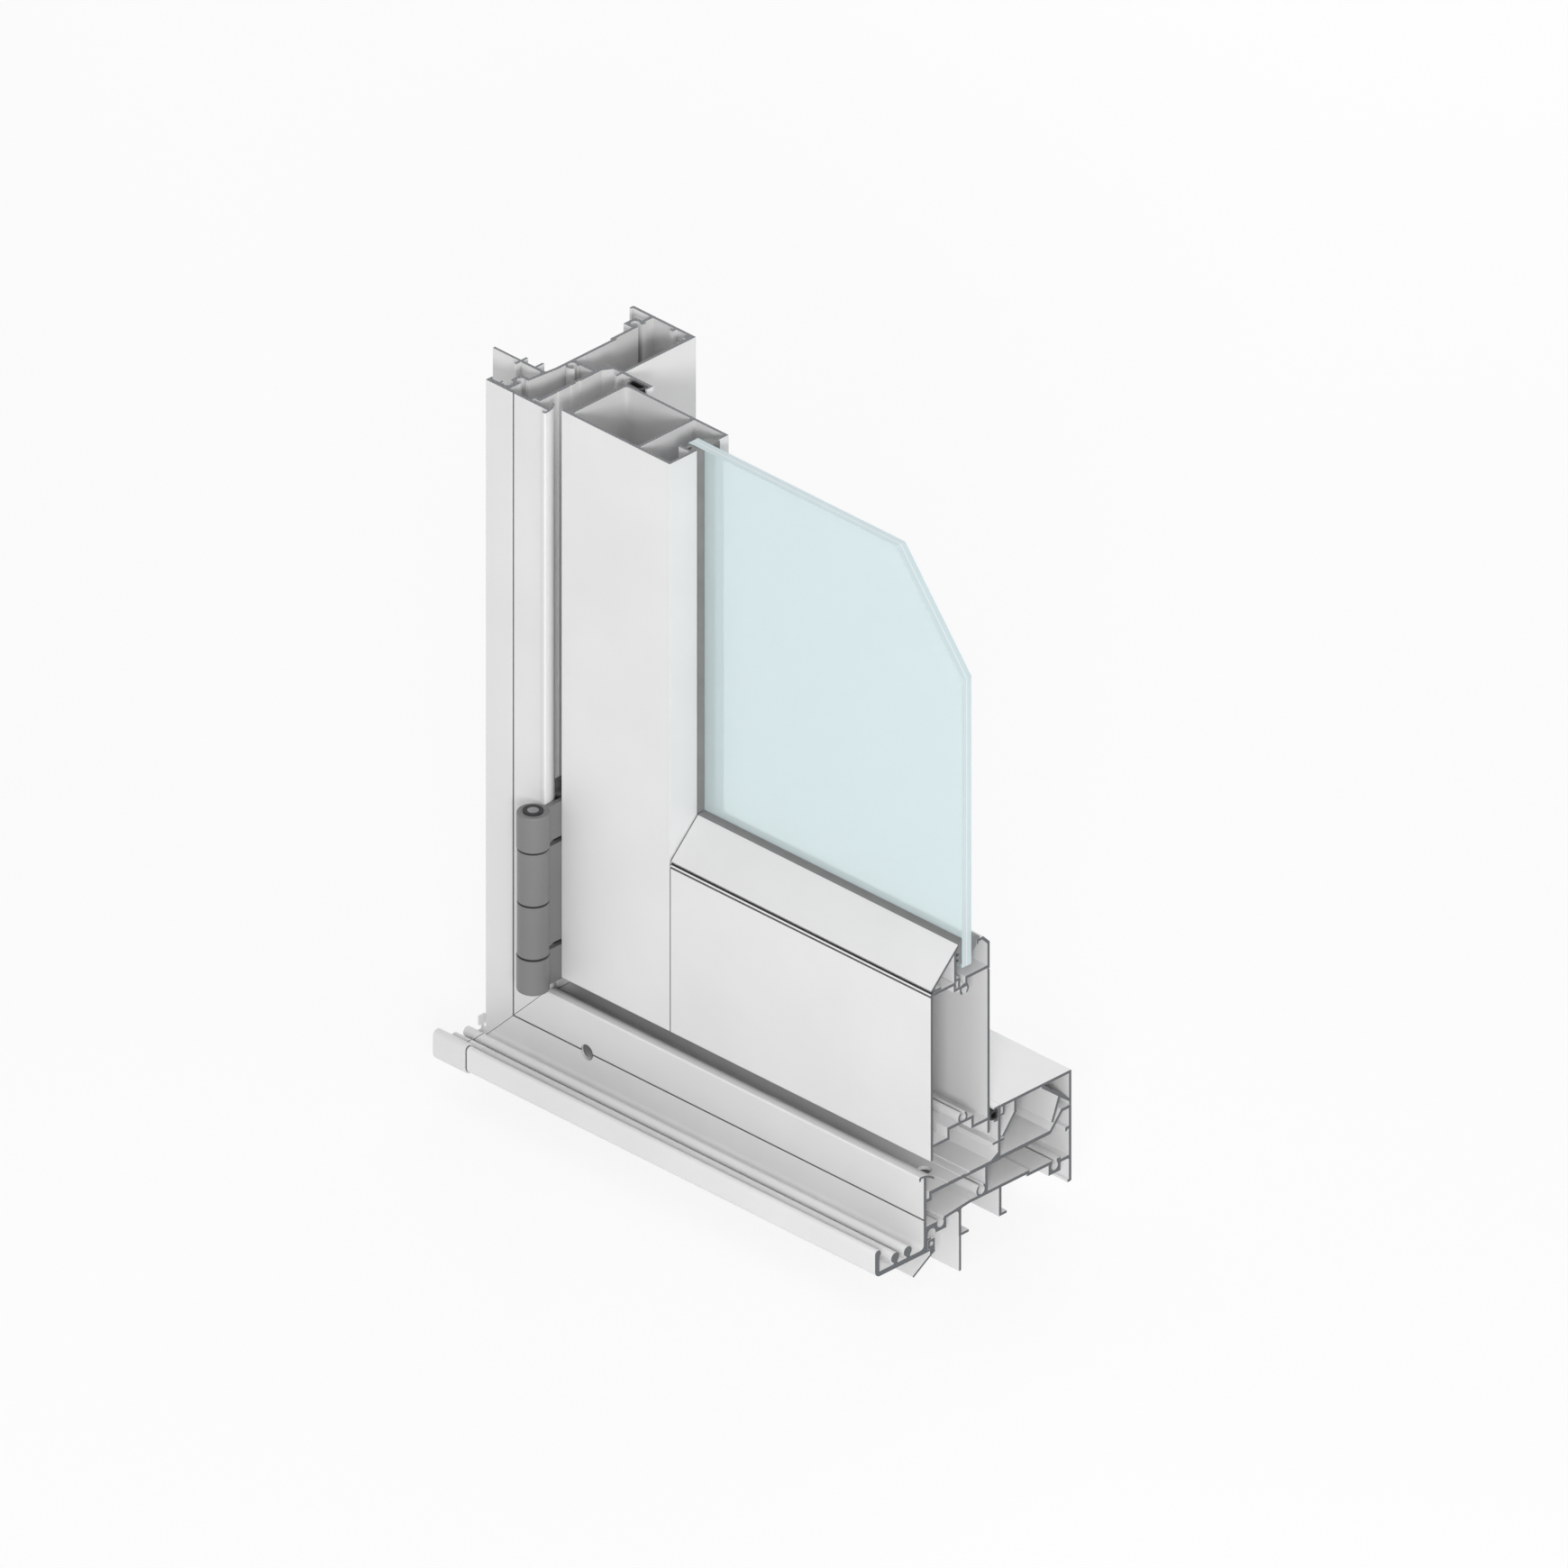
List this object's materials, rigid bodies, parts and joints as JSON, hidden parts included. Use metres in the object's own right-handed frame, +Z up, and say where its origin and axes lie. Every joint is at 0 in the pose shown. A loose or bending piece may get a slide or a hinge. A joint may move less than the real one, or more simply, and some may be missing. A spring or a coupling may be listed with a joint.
{
  "type": "bi-fold door corner section",
  "caption": "Cut-away lower corner of an outward-folding aluminium door: mitred jamb and sill, hinged glazed panel corner.",
  "frame": {"origin": "middle of the sill nail fin's interior face, half way along the kept length and half way down the fin", "axes": "+X along the sill away from the wall, +Y from the exterior face towards the interior, +Z up"},
  "size_m": [0.3209, 0.1361, 0.3881],
  "materials": {
    "frame_metal": "light grey powder coat, matt",
    "panel_metal": "light grey powder coat, matt",
    "end_cap_plastic": "moulded, light grey",
    "glass": "clear with a pale blue tint",
    "glazing_rubber": "extruded, mid grey",
    "seal_rubber": "extruded, black",
    "hinge_metal": "mid grey powder coat, satin",
    "pin_steel": "ground",
    "bush_plastic": "moulded, black"
  },
  "bodies": {
    "root": {"jamb_frame": "frame_metal", "sill_frame": "frame_metal", "sill_cap": "frame_metal", "sill_nail_fin": "frame_metal", "jamb_nail_fin": "frame_metal", "sill_drip_flap": "frame_metal", "nose_end_cap": "end_cap_plastic", "stile": "panel_metal", "bottom_rail": "panel_metal", "rail_glazing_bead": "panel_metal", "glass_pane": "glass", "setting_block": "seal_rubber", "stile_outer_gasket": "glazing_rubber", "rail_outer_gasket": "glazing_rubber", "stile_inner_gasket": "glazing_rubber", "rail_inner_gasket": "glazing_rubber", "jamb_weather_seal": "seal_rubber", "sill_weather_seal": "seal_rubber", "hinge_jamb_leaf": "hinge_metal", "hinge_panel_leaf": "hinge_metal", "hinge_pin": "pin_steel", "hinge_bush": "bush_plastic", "hinge_ring_1": "bush_plastic", "hinge_ring_2": "bush_plastic", "hinge_ring_3": "bush_plastic"}
  },
  "joints": []
}
